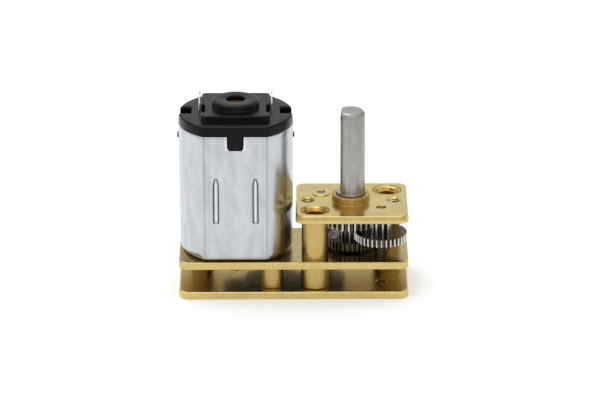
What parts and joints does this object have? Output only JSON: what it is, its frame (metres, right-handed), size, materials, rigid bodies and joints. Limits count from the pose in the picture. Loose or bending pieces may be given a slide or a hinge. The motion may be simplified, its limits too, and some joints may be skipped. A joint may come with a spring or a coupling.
{
  "type": "gearmotor",
  "caption": "Side-by-side spur gearmotor: a flat-sided can motor and an open brass-plate gearbox, with a D-shaped output shaft on the end cap's side.",
  "frame": {"origin": "centre of the bottom plate's underside", "axes": "+X from the motor towards the output shaft, +Z along the shafts, out of the output side"},
  "size_m": [0.024, 0.01, 0.021],
  "materials": {
    "brass_plate": "satin rolled sheet",
    "brass_post": "fine turned satin",
    "bronze": "sintered bronze, oiled",
    "bright_steel": "ground",
    "shaft_steel": "ground satin",
    "gear_steel": "oiled, dark flanks with bright tooth lands",
    "can_steel": "drawn and plated, soft sheen",
    "black_plastic": "fine moulded matt",
    "ferrite": "sintered, dull",
    "tinned_contact": "tinned",
    "laminated_iron": "stacked laminations",
    "copper_wire": "enamelled wire"
  },
  "bodies": {
    "frame": {"bottom_plate": "brass_plate", "middle_plate": "brass_plate", "top_plate": "brass_plate", "front_post": "brass_post", "rear_post": "brass_post", "short_posts": "brass_post", "output_bush": "bronze", "idler_pin": "bright_steel", "motor_can": "can_steel", "motor_end_cap": "black_plastic", "magnets": "ferrite", "front_bearing": "bronze", "rear_bearing": "bronze", "terminals": "tinned_contact", "brushes": "tinned_contact"},
    "rotor": {"motor_shaft": "bright_steel", "motor_pinion": "brass_post", "rotor_core": "laminated_iron", "rotor_windings": "copper_wire", "commutator_hub": "black_plastic", "commutator_segments": "copper_wire"},
    "idler": {"idler_gear": "gear_steel"},
    "transfer": {"transfer_shaft": "bright_steel", "transfer_wheel": "gear_steel", "transfer_pinion": "gear_steel"},
    "centre": {"centre_wheel": "gear_steel", "centre_pinion": "gear_steel"},
    "final": {"final_pinion_shaft": "gear_steel", "final_wheel": "gear_steel"},
    "output": {"output_shaft": "shaft_steel", "output_gear": "gear_steel"}
  },
  "joints": [
    {"name": "rotor_spin", "type": "hinge", "parent": "frame", "child": "rotor", "pos_m": [-0.006, 0, 0], "axis": [0, 0, 1], "continuous": true},
    {"name": "idler_spin", "type": "hinge", "parent": "frame", "child": "idler", "pos_m": [-0.00225, 0.00139, 0], "axis": [0, 0, 1], "continuous": true},
    {"name": "transfer_spin", "type": "hinge", "parent": "frame", "child": "transfer", "pos_m": [0.00291, 0.002, 0], "axis": [0, 0, 1], "continuous": true},
    {"name": "centre_spin", "type": "hinge", "parent": "frame", "child": "centre", "pos_m": [0.006, 0, 0], "axis": [0, 0, 1], "continuous": true},
    {"name": "final_spin", "type": "hinge", "parent": "frame", "child": "final", "pos_m": [0.00915, -0.00213, 0], "axis": [0, 0, 1], "continuous": true},
    {"name": "output_spin", "type": "hinge", "parent": "frame", "child": "output", "pos_m": [0.006, 0, 0], "axis": [0, 0, 1], "continuous": true}
  ],
  "couplings": [
    {"joint": "idler_spin", "follows": "rotor_spin", "ratio": -0.42857},
    {"joint": "transfer_spin", "follows": "rotor_spin", "ratio": 0.5},
    {"joint": "centre_spin", "follows": "rotor_spin", "ratio": -0.2},
    {"joint": "final_spin", "follows": "rotor_spin", "ratio": 0.085714},
    {"joint": "output_spin", "follows": "rotor_spin", "ratio": -0.026601}
  ]
}
